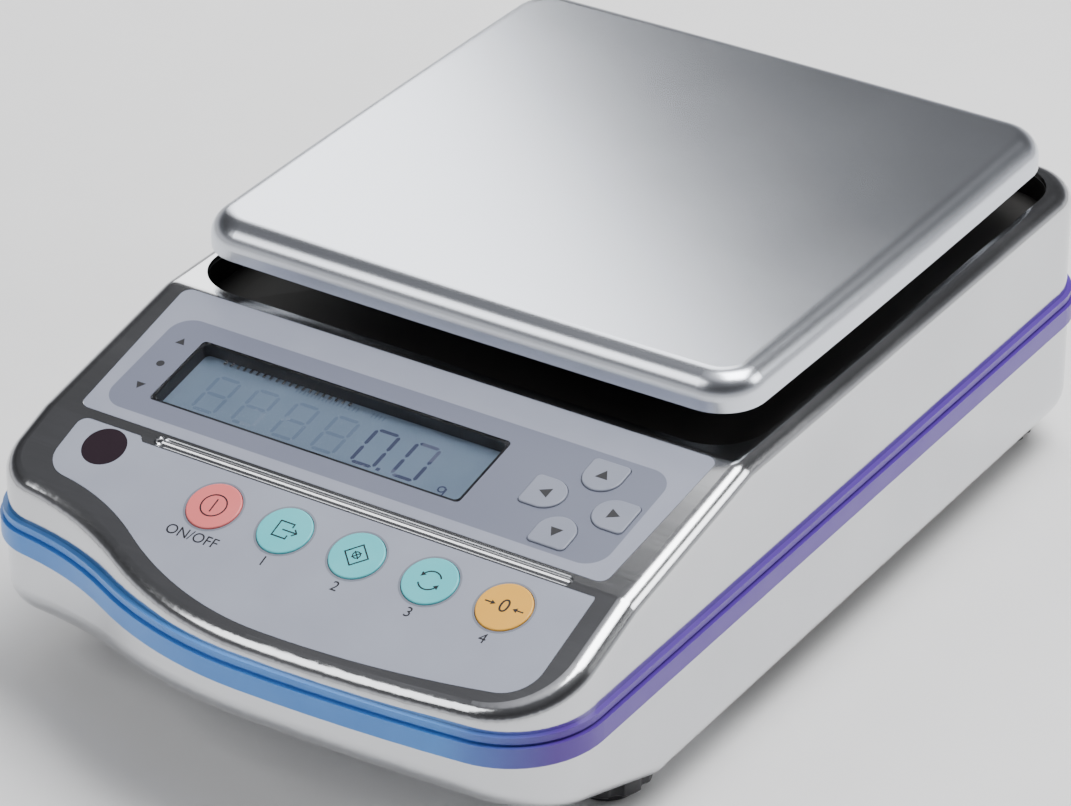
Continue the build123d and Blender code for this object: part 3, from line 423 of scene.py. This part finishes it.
def surface(tree, shader, effect, low, high, relief, depth):
    """Drive the shader's colour, roughness and small relief, in mm, from a shared effect."""
    tone = tone_between(tree, effect.outputs["Tone"], low, high)
    tree.links.new(tone, shader.inputs["Base Color"])
    tree.links.new(effect.outputs["Roughness"], shader.inputs["Roughness"])
    if relief:
        node = tree.nodes.new("ShaderNodeBump")
        node.inputs["Strength"].default_value = relief
        node.inputs["Distance"].default_value = depth * MM
        tree.links.new(effect.outputs["Height"], node.inputs["Height"])
        tree.links.new(node.outputs["Normal"], shader.inputs["Normal"])


# %% [markdown]
# The case is polished almost to a mirror and the pan is satin, which is what spreads its light so
# softly. The small bright parts inside are rolled or plated, and the chassis, the pan's support
# and the mechanism are cast or milled, with an even grain.

# %% Metals
METAL_DEPTH = 0.02              # of the relief, in mm
SHEET_GRAIN = (30, 1600)        # scratches per metre along the sheet and across it
CAST_GRAIN = (400, 400)


def metal(name, low, high, rough, length=30.0, across=2500.0, relief=0.04):
    """Worked metal: grain along X, two near tones, and a range of roughness."""
    material, tree, shader, place = new_material(name)
    values = {"Length": length, "Across": across, "Rough Low": rough[0], "Rough High": rough[1]}
    shader.inputs["Metallic"].default_value = 1
    surface(tree, shader, use_group(tree, GRAIN, place, values), low, high, relief, METAL_DEPTH)
    return material


case_steel = metal("case_steel", (0.60, 0.61, 0.63), (0.65, 0.66, 0.68), (0.14, 0.19), *SHEET_GRAIN, 0.012)
pan_steel = metal("pan_steel", (0.68, 0.71, 0.77), (0.69, 0.72, 0.78), (0.24, 0.26), *SHEET_GRAIN, 0.0)
bright_metal = metal("bright_metal", (0.62, 0.62, 0.64), (0.70, 0.70, 0.72), (0.18, 0.30))
cast_metal = metal("cast_metal", (0.48, 0.49, 0.50), (0.56, 0.57, 0.58), (0.40, 0.55), *CAST_GRAIN, 0.2)
print("metals:", case_steel.name, pan_steel.name, bright_metal.name, cast_metal.name)

# %% [markdown]
# Black plastic and rubber differ mostly in roughness. The overlays are printed film, the keys are
# the same film in their own colours, and the display's glass is a pale grey-blue. The window over
# it is clear, while the one over the level is so dark that the vial hardly shows.

# %% Plastics, rubbers and films
PLASTIC_DEPTH = 0.03            # of the relief, in mm
FILM = (3000, 0.03)             # cells per metre, and strength of the relief
KEY_FILM = (1500, 0.03)
DISPLAY_GLASS = (3000, 0.02)
CLEAR_PLATE = (200, 0.0)
CLEAR_IOR = 1.3


def plastic(name, low, high, rough, scale=900.0, relief=0.08):
    """Moulded plastic, rubber or printed film: pebble, two near tones, and a range of roughness."""
    material, tree, shader, place = new_material(name)
    values = {"Scale": scale, "Rough Low": rough[0], "Rough High": rough[1]}
    surface(tree, shader, use_group(tree, PEBBLE, place, values), low, high, relief, PLASTIC_DEPTH)
    return material


black_plastic = plastic("black_plastic", (0.012, 0.012, 0.014), (0.020, 0.020, 0.023), (0.35, 0.5))
rubber = plastic("rubber", (0.016, 0.016, 0.018), (0.026, 0.026, 0.028), (0.6, 0.8))
seal_rubber = plastic("seal_rubber", (0.06, 0.24, 0.66), (0.08, 0.28, 0.72), (0.28, 0.38))
board_lacquer = plastic("board_lacquer", (0.02, 0.10, 0.05), (0.03, 0.13, 0.06), (0.3, 0.45))
cable_grey = plastic("cable_grey", (0.35, 0.35, 0.36), (0.40, 0.40, 0.42), (0.4, 0.5))
overlay_film = plastic("overlay_film", (0.34, 0.36, 0.44), (0.36, 0.385, 0.465), (0.30, 0.38), *FILM)
display_film = plastic("display_film", (0.30, 0.32, 0.40), (0.32, 0.34, 0.42), (0.30, 0.36), *FILM)
key_red = plastic("key_red", (0.84, 0.18, 0.18), (0.87, 0.21, 0.21), (0.3, 0.4), *KEY_FILM)
key_cyan = plastic("key_cyan", (0.10, 0.60, 0.66), (0.13, 0.64, 0.70), (0.3, 0.4), *KEY_FILM)
key_orange = plastic("key_orange", (0.90, 0.45, 0.05), (0.93, 0.48, 0.07), (0.3, 0.4), *KEY_FILM)
key_grey = plastic("key_grey", (0.24, 0.26, 0.33), (0.26, 0.28, 0.35), (0.3, 0.38), *FILM)
ring_grey = plastic("ring_grey", (0.20, 0.22, 0.27), (0.23, 0.25, 0.30), (0.35, 0.45), *FILM)
ink = plastic("ink", (0.010, 0.010, 0.014), (0.016, 0.016, 0.020), (0.4, 0.5))
vial_green = plastic("vial_green", (0.20, 0.16, 0.16), (0.24, 0.19, 0.19), (0.1, 0.2))
lcd_face = plastic("lcd_face", (0.19, 0.25, 0.33), (0.21, 0.27, 0.35), (0.12, 0.2), *DISPLAY_GLASS)
lcd_ghost = plastic("lcd_ghost", (0.15, 0.20, 0.28), (0.17, 0.22, 0.30), (0.2, 0.3), *DISPLAY_GLASS)
lcd_ink = plastic("lcd_ink", (0.07, 0.08, 0.14), (0.08, 0.09, 0.16), (0.2, 0.3), *DISPLAY_GLASS)
lamp_white = plastic("lamp_white", (0.7, 0.72, 0.74), (0.75, 0.77, 0.79), (0.4, 0.5))
smoked_window = plastic("smoked_window", (0.022, 0.014, 0.020), (0.028, 0.018, 0.025), (0.05, 0.08),
                        *CLEAR_PLATE)
clear_window = plastic("clear_window", (0.95, 0.97, 1.0), (0.95, 0.97, 1.0), (0.02, 0.05), *CLEAR_PLATE)
clear_shader = clear_window.node_tree.nodes["Principled BSDF"]
clear_shader.inputs["Transmission Weight"].default_value = 1
clear_shader.inputs["IOR"].default_value = CLEAR_IOR
print("materials:", len(bpy.data.materials))

# %% [markdown]
# ## Finishes that change over one piece
# The well under the pan looks black, while the sheet it is pressed from is bright everywhere else:
# it lies in shade and mirrors the pan's dark underside. A mask of the well's own outline, held below
# the deck, paints that shade on and turns the same steel dark and dull there. Cutting the sheet in
# two for it would add a seam that isn't there.

# %% Painted shade in the well
WELL_MIDDLE = (0, 51.15 * MM, 80 * MM)
WELL_HALF = (91.5, 94.4)
WELL_CORNER = 17.0
WELL_TOP = (84.9 * MM, 84.3 * MM)             # the black fades in between these heights
# The well's black is painted shade, not a colour of the steel; the dull roughness and the loss of metal go
# with it.
WELL_PAINTED_SHADE = (0.010, 0.009, 0.008, 1)
WELL_ROUGHNESS = 0.6


def opened(material):
    """Tree, Principled shader and texture coordinates of a finished material."""
    tree = material.node_tree
    coordinates = next(node for node in tree.nodes if node.type == "TEX_COORD")
    return tree, tree.nodes["Principled BSDF"], coordinates.outputs["Object"]


def zone_mask(tree, place, middle, along, half, corner):
    """Mask of a rounded rectangle that lies on the part."""
    values = {"Half Across": half[0], "Half Along": half[1], "Corner": corner, "Middle": middle,
              "Across": (1, 0, 0), "Along": along}
    return use_group(tree, ZONE, place, values).outputs["Mask"]


def along_axis(tree, place, axis, low, high):
    """Mask that rises from 0 to 1 between two places on an axis."""
    split = tree.nodes.new("ShaderNodeSeparateXYZ")
    tree.links.new(place, split.inputs["Vector"])
    return range_node(tree, split.outputs[axis], low, high).outputs["Result"]


tree, shader, place = opened(case_steel)
well = tree.nodes.new("ShaderNodeMath")
well.operation = "MULTIPLY"
tree.links.new(zone_mask(tree, place, WELL_MIDDLE, (0, 1, 0), WELL_HALF, WELL_CORNER), well.inputs[0])
tree.links.new(along_axis(tree, place, "Z", *WELL_TOP), well.inputs[1])
mask = well.outputs["Value"]
colour, roughness = (shader.inputs[label] for label in ("Base Color", "Roughness"))
# Mix the painted shade of the well into the steel's colour, metal and roughness.
mixed(tree, "RGBA", mask, colour.links[0].from_socket, WELL_PAINTED_SHADE, colour)
mixed(tree, "FLOAT", mask, 1.0, 0.0, shader.inputs["Metallic"])
mixed(tree, "FLOAT", mask, roughness.links[0].from_socket, WELL_ROUGHNESS, roughness)
print("case steel:", len(tree.nodes), "nodes")

# %% [markdown]
# The display overlay is printed in two greys: a pale border and a darker field with round
# corners inside it. The field is a mask on the face, measured from the bend like the marks. It
# goes in the film's own colour, so the edge stays as sharp as print.

# %% Two-tone display overlay
FIELD_MIDDLE = (-0.3, 31.4)
FIELD_HALF = (80.7, 20.0)
FIELD_CORNER = 7.0
FIELD_GREY = (0.17, 0.185, 0.25, 1)

tree, shader, place = opened(display_film)
middle = face_matrix("display", *FIELD_MIDDLE).translation
up_the_slope = (0, cos(DISPLAY_TILT), sin(DISPLAY_TILT))
field = zone_mask(tree, place, middle, up_the_slope, FIELD_HALF, FIELD_CORNER)
colour = shader.inputs["Base Color"]
mixed(tree, "RGBA", field, colour.links[0].from_socket, FIELD_GREY, colour)
print("middle of the field:", [round(value / MM, 1) for value in middle], "mm")

# %% [markdown]
# The seal is one moulded ring of blue. Along the right side a darker violet is painted on: it is
# painted shade, for the side that lies in shade while the front is lit. The colour follows the
# distance across the part, from left to right, so the painted shade sets in at the front right corner.

# %% Seal with painted shade along its right side
SEAL_SHADE_SPAN = (66 * MM, 94 * MM)
# The violet is painted shade for the seal's right side, not a colour of the rubber.
SEAL_SHADE_VIOLET = (0.085, 0.030, 0.30, 1)

tree, shader, place = opened(seal_rubber)
colour = shader.inputs["Base Color"]
shaded_side = along_axis(tree, place, "X", *SEAL_SHADE_SPAN)
mixed(tree, "RGBA", shaded_side, colour.links[0].from_socket, SEAL_SHADE_VIOLET, colour)
print("blue to violet over", round((SEAL_SHADE_SPAN[1] - SEAL_SHADE_SPAN[0]) / MM), "mm")

# %% [markdown]
# ## Dressing the pieces
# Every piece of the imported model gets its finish, also those that only show when the pan is off
# or from below. The table reads from the finish to the pieces that have it.

# %% Dress every node
FINISHES = {
    case_steel: ("upper_case", "lower_case"),
    pan_steel: ("pan",),
    seal_rubber: ("case_gasket",),
    display_film: ("display_panel",),
    overlay_film: ("key_panel",),
    clear_window: ("display_window", "level_bubble"),
    smoked_window: ("level_window",),
    black_plastic: ("lcd_frame", "level_holder", "power_inlet", "foot_knob_front_left",
                    "foot_knob_front_right", "foot_knob_back_left", "foot_knob_back_right"),
    lcd_face: ("lcd_glass",),
    lamp_white: ("lcd_backlight",),
    bright_metal: ("lcd_pins", "switch_domes", "tuning_fork", "serial_port", "case_screws",
                   "frame_screws", "board_screws", "foot_nuts", "overload_stop", "support_column",
                   "upper_guide", "lower_guide"),
    board_lacquer: ("display_board", "key_board", "main_board"),
    vial_green: ("level_vial",),
    rubber: ("column_boot", "pan_bumpers", "foot_pad_front_left", "foot_pad_front_right",
             "foot_pad_back_left", "foot_pad_back_right"),
    cast_metal: ("chassis", "fixed_frame", "pan_support", "moving_block", "lever"),
    cable_grey: ("ribbon_cable",),
    key_red: ("key_on_off",),
    key_cyan: ("key_print", "key_set", "key_function"),
    key_orange: ("key_zero_tare",),
    key_grey: ("key_up", "key_left", "key_down", "key_right"),
}
for material, names in FINISHES.items():
    for name in names:
        for slot in nodes[name].material_slots:
            slot.material = material
print("finishes:", len(FINISHES), "nodes dressed:", sum(len(names) for names in FINISHES.values()))

# %% [markdown]
# ## Marks
# Printed marks are thin solids that lie on the surface, so they stay sharp close up. Each is
# drawn flat, of discs, rings, arcs, bars and letters. They are generic pictures and plain
# numbers, and a switch may say what it does.

# %% Flat shapes
ARC_SIDES = 72


def polygon(radius, hole=0.0, sides=48, place=(0, 0), turn=0.0):
    """Flat disc, triangle or diamond, or a ring of one when it has a hole."""
    bpy.ops.object.select_all(action="DESELECT")
    bpy.ops.mesh.primitive_circle_add(vertices=sides, radius=radius * MM, fill_type="NGON",
                                      rotation=(0, 0, turn))
    shape = bpy.context.object
    if hole:
        bpy.ops.object.mode_set(mode="EDIT")
        bpy.ops.mesh.select_all(action="SELECT")
        bpy.ops.mesh.inset(thickness=(radius - hole) * MM * cos(pi / sides))
        bpy.ops.mesh.delete(type="FACE")
        bpy.ops.object.mode_set(mode="OBJECT")
    shape.location = Vector((*place, 0)) * MM
    return shape


def arc(radius, width, start, sweep):
    """Flat band round the middle: part of a circle's edge, extruded inward."""
    bpy.ops.object.select_all(action="DESELECT")
    bpy.ops.mesh.primitive_circle_add(vertices=ARC_SIDES, radius=radius * MM, fill_type="NOTHING")
    shape = bpy.context.object
    bpy.ops.object.mode_set(mode="EDIT")
    bpy.ops.mesh.select_all(action="DESELECT")
    bpy.ops.object.mode_set(mode="OBJECT")
    for vertex in shape.data.vertices:
        vertex.select = (atan2(vertex.co.y, vertex.co.x) - start) % (2 * pi) > sweep
    bpy.ops.object.mode_set(mode="EDIT")
    bpy.ops.mesh.delete(type="VERT")
    bpy.ops.mesh.select_all(action="SELECT")
    bpy.ops.mesh.extrude_region_move()
    inner = (radius - width) / radius
    bpy.ops.transform.resize(value=(inner, inner, 1), center_override=(0, 0, 0))
    bpy.ops.object.mode_set(mode="OBJECT")
    return shape


# %% [markdown]
# A bar is a plane that is stretched in edit mode, and its corners can be cut for the pointed ends
# of a display's segments. Letters and numbers are text made mesh. What repeats is drawn once and
# copied, each copy with a mesh of its own.

# %% Bars, letters and copies


def bar(width, height, place=(0, 0), turn=0.0, tip=0.0):
    """Flat bar, with its four corners cut by the tip."""
    bpy.ops.object.select_all(action="DESELECT")
    bpy.ops.mesh.primitive_plane_add(size=MM)
    shape = bpy.context.object
    bpy.ops.object.mode_set(mode="EDIT")
    bpy.ops.mesh.select_all(action="SELECT")
    bpy.ops.transform.resize(value=(width, height, 1))
    if tip:
        bpy.ops.mesh.bevel(offset=tip * MM, affect="VERTICES")
    bpy.ops.object.mode_set(mode="OBJECT")
    shape.location = Vector((*place, 0)) * MM
    shape.rotation_euler.z = turn
    return shape


def letters(words, size):
    """Flat letters or numbers, made mesh."""
    bpy.ops.object.select_all(action="DESELECT")
    bpy.ops.object.text_add()
    shape = bpy.context.object
    shape.data.body = words
    shape.data.size = size * MM
    shape.data.align_x = "CENTER"
    shape.data.align_y = "CENTER"
    bpy.ops.object.convert(target="MESH")
    return bpy.context.object


def only(*things):
    """Select these objects and make the last one active."""
    bpy.ops.object.select_all(action="DESELECT")
    for thing in things:
        thing.select_set(True)
    bpy.context.view_layer.objects.active = things[-1]


def copies(shape, places):
    """The shape at the first of the places and turns, and a copy of it at each other one."""
    made = [shape]
    for _ in places[1:]:
        only(shape)
        bpy.ops.object.duplicate(linked=False)
        made.append(bpy.context.object)
    for copy, (x, y, turn) in zip(made, places):
        copy.location = Vector((x, y, 0)) * MM
        copy.rotation_euler.z = turn
    return made


# %% [markdown]
# The parts of a mark are joined, made as thick as a coat of ink, and set on their face. The mark
# then rides on the body that it is printed on, so that a key's picture goes down with the key.

# %% Setting a mark
INK_THICK = 0.04
marks = []


def mark(name, parts, matrix, rides, material, thick=INK_THICK):
    """Join flat parts, thicken them, set them on their face and let them ride on a body."""
    only(*parts)
    bpy.ops.object.transform_apply(location=True, rotation=True, scale=True)
    if len(parts) > 1:
        bpy.ops.object.join()
    piece = bpy.context.object
    piece.name = name
    bpy.ops.object.mode_set(mode="EDIT")
    bpy.ops.mesh.select_all(action="SELECT")
    bpy.ops.mesh.extrude_region_move(TRANSFORM_OT_translate={"value": (0, 0, thick * MM)})
    bpy.ops.mesh.select_all(action="SELECT")
    bpy.ops.mesh.normals_make_consistent(inside=False)
    bpy.ops.object.mode_set(mode="OBJECT")
    piece.data.transform(matrix)
    piece.data.materials.clear()
    piece.data.materials.append(material)
    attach(piece, rides)
    marks.append(piece)


# %% [markdown]
# Each round key has a picture of what it does: a bar in a ring, a sheet that leaves a tray, a
# diamond with a target, two arrows that chase each other, and a zero between two arrows. All of
# them are drawn with one width of line, in millimetres from the middle of the key.

# %% Pictures of the round keys
LINE = 0.42
FINE_LINE = 0.8 * LINE
HALF_TURN_STARTS = (0.5, 0.5 + pi)
CHASE_SWEEP = 2.2


def power_picture():
    """Ring with a bar in it."""
    return [polygon(3.9, 3.9 - LINE), bar(LINE, 4.6)]


def sheet_picture():
    """Tray, open at its right, with an arrow that leaves it."""
    tray = [bar(LINE, 5.6, (-2.6, 0)), bar(4.6, LINE, (-0.4, 2.6)), bar(4.6, LINE, (-0.4, -2.6))]
    lips = [bar(LINE, 1.3, (1.7, side * 2.0)) for side in (-1, 1)]
    head = [bar(1.7, LINE, (3.35, side * 0.53), -side * pi / 4) for side in (-1, 1)]
    return tray + lips + [bar(4.6, LINE, (1.6, 0))] + head


def target_picture():
    """Diamond round a small ring with a cross through it."""
    cross = [bar(3.0, FINE_LINE, turn=eighths * pi / 4) for eighths in (1, 3)]
    return [polygon(4.0, 3.4, sides=4), polygon(1.25, 1.25 - FINE_LINE, sides=24)] + cross


def chase_picture():
    """Two arcs with a head each, half a turn apart."""
    parts = []
    for start in HALF_TURN_STARTS:
        tip = start + CHASE_SWEEP
        parts.append(arc(3.3, LINE, start, CHASE_SWEEP))
        parts.append(polygon(0.95, sides=3, place=(3.1 * cos(tip), 3.1 * sin(tip)), turn=tip))
    return parts


def zero_picture():
    """Zero between two arrows that point at it."""
    parts = [letters("0", 6.2)]
    for side in (-1, 1):
        parts.append(bar(2.0, LINE, (side * 4.9, 0)))
        parts.append(polygon(0.9, sides=3, place=(side * 3.5, 0), turn=side * pi / 2))
    return parts


# %% [markdown]
# The pictures go on the crowns of the keys. Below each key is a plain number, or what the switch
# does, and round each a grey ring hides the gap in the overlay.

# %% Mark the round keys
KEY_X = -27.7
KEY_PITCH = 23.1
KEY_DOWN = 14.2
KEY_CROWN = 0.5
LABEL_DOWN = 25.3
LABEL_SIZE = 4.6
RING_RADIUS = 8.6
RING_HOLE = 8.02
ROUND_KEYS = (("key_on_off", power_picture, "ON/OFF"), ("key_print", sheet_picture, "1"),
              ("key_set", target_picture, "2"), ("key_function", chase_picture, "3"),
              ("key_zero_tare", zero_picture, "4"))

for number, (key, picture, label) in enumerate(ROUND_KEYS):
    x = KEY_X + number * KEY_PITCH
    mark(key + "_picture", picture(), face_matrix("key", x, KEY_DOWN, KEY_CROWN), key, ink)
    mark(key + "_label", [letters(label, LABEL_SIZE)], face_matrix("key", x, LABEL_DOWN), "case", ink)
    mark(key + "_ring", [polygon(RING_RADIUS, RING_HOLE, sides=64)], face_matrix("key", x, KEY_DOWN),
         "case", ring_grey)
print("marks on the key face:", len(marks))

# %% [markdown]
# The four arrow keys carry a small black triangle each, that points away from the middle. Left of
# the window three marks stand where a weight is over, within and under its limits.

# %% Arrow keys and limit marks
ARROW_MIDDLE = (62.7, 31.8)
ARROW_SPREAD = (10.4, 12.0)
ARROW_RADIUS = 2.2
LIMIT_X = -74.4
LIMITS = (("limit_over", 21.3, 3, 1.7, 0), ("limit_within", 31.3, 32, 1.2, 0),
          ("limit_under", 41.1, 3, 1.7, pi))   # name, place, sides, radius and turn of each

for number, key in enumerate(("key_up", "key_left", "key_down", "key_right")):
    turn = number * pi / 2
    x = ARROW_MIDDLE[0] - ARROW_SPREAD[0] * sin(turn)
    down = ARROW_MIDDLE[1] - ARROW_SPREAD[1] * cos(turn)
    mark(key + "_triangle", [polygon(ARROW_RADIUS, sides=3)],
         face_matrix("display", x, down, KEY_CROWN, turn), key, ink)

for name, down, sides, radius, turn in LIMITS:
    mark(name, [polygon(radius, sides=sides)], face_matrix("display", LIMIT_X, down, 0, turn), "case", ink)
print("with arrows and limits:", len(marks))

# %% [markdown]
# The display is a reflective one: all its segments show faintly, the lit ones dark. One segment
# is drawn, with cut corners, and copied to the seven places of a digit. Four digits are unlit,
# the last two read nought point nought.

# %% Digits
DIGITS = 6
UNLIT_DIGITS = 4
DIGIT_X = -55.5
DIGIT_PITCH = 13.2
DIGIT_DOWN = 32.2
DIGIT_HALF_WIDTH = 3.6
DIGIT_HALF_HEIGHT = 6.9
SEGMENT_LENGTH = 6.2
SEGMENT_WIDTH = 1.15
SEGMENT_TIP = 0.5
GLASS_DEPTH = 4.3
GLASS_THICK = 0.02
POINT_X = 5.4
POINT_SIZE = 1.2


def digit(middle_bar):
    """Seven-segment digit, with or without its middle bar."""
    bars = [(0, side * DIGIT_HALF_HEIGHT, 0) for side in (1, 0, -1) if side or middle_bar]
    posts = [(x * DIGIT_HALF_WIDTH, y * DIGIT_HALF_HEIGHT / 2, pi / 2) for y in (1, -1) for x in (-1, 1)]
    return copies(bar(SEGMENT_LENGTH, SEGMENT_WIDTH, tip=SEGMENT_TIP), bars + posts)


for number in range(DIGITS):
    lit = number >= UNLIT_DIGITS
    parts = digit(not lit)
    if number == UNLIT_DIGITS:
        parts.append(bar(POINT_SIZE, POINT_SIZE, (POINT_X, -DIGIT_HALF_HEIGHT)))
    matrix = face_matrix("display", DIGIT_X + number * DIGIT_PITCH, DIGIT_DOWN, -GLASS_DEPTH)
    mark("digit_" + str(number), parts, matrix, "case", lcd_ink if lit else lcd_ghost, GLASS_THICK)
print("with digits:", len(marks))

# %% [markdown]
# Above the digits runs a faint comb of short bars, which would show how much of the range is
# used, and right of them a small ring with a tail marks the unit.

# %% Bar graph and unit mark
COMB_BARS = 24
COMB_PITCH = 1.25
COMB_WIDTH = 0.45
COMB_HEIGHT = 1.9
COMB_PLACE = (-36.0, 21.0)
UNIT_PLACE = (23.0, 38.6)

comb = copies(bar(COMB_WIDTH, COMB_HEIGHT), [(number * COMB_PITCH, 0, 0) for number in range(COMB_BARS)])
mark("bar_graph", comb, face_matrix("display", *COMB_PLACE, -GLASS_DEPTH), "case", lcd_ghost, GLASS_THICK)
unit = [polygon(1.3, 0.8, sides=24), bar(0.5, 3.2, (1.2, -1.0))]
mark("unit_mark", unit, face_matrix("display", *UNIT_PLACE, -GLASS_DEPTH), "case", lcd_ink, GLASS_THICK)
print("marks in all:", len(marks))

# %% [markdown]
# ## The two boxes
# The box round the dressed part should be the box round the solids, because the marks are thinner
# than a hair. Both are measured, and the largest difference between them is printed.

# %% Keep both boxes and finish
visual_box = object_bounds()
difference = max(abs(a - b) for one, other in zip(cad_box, visual_box) for a, b in zip(one, other))
print("the boxes differ by", round(difference / MM, 3), "mm at most")
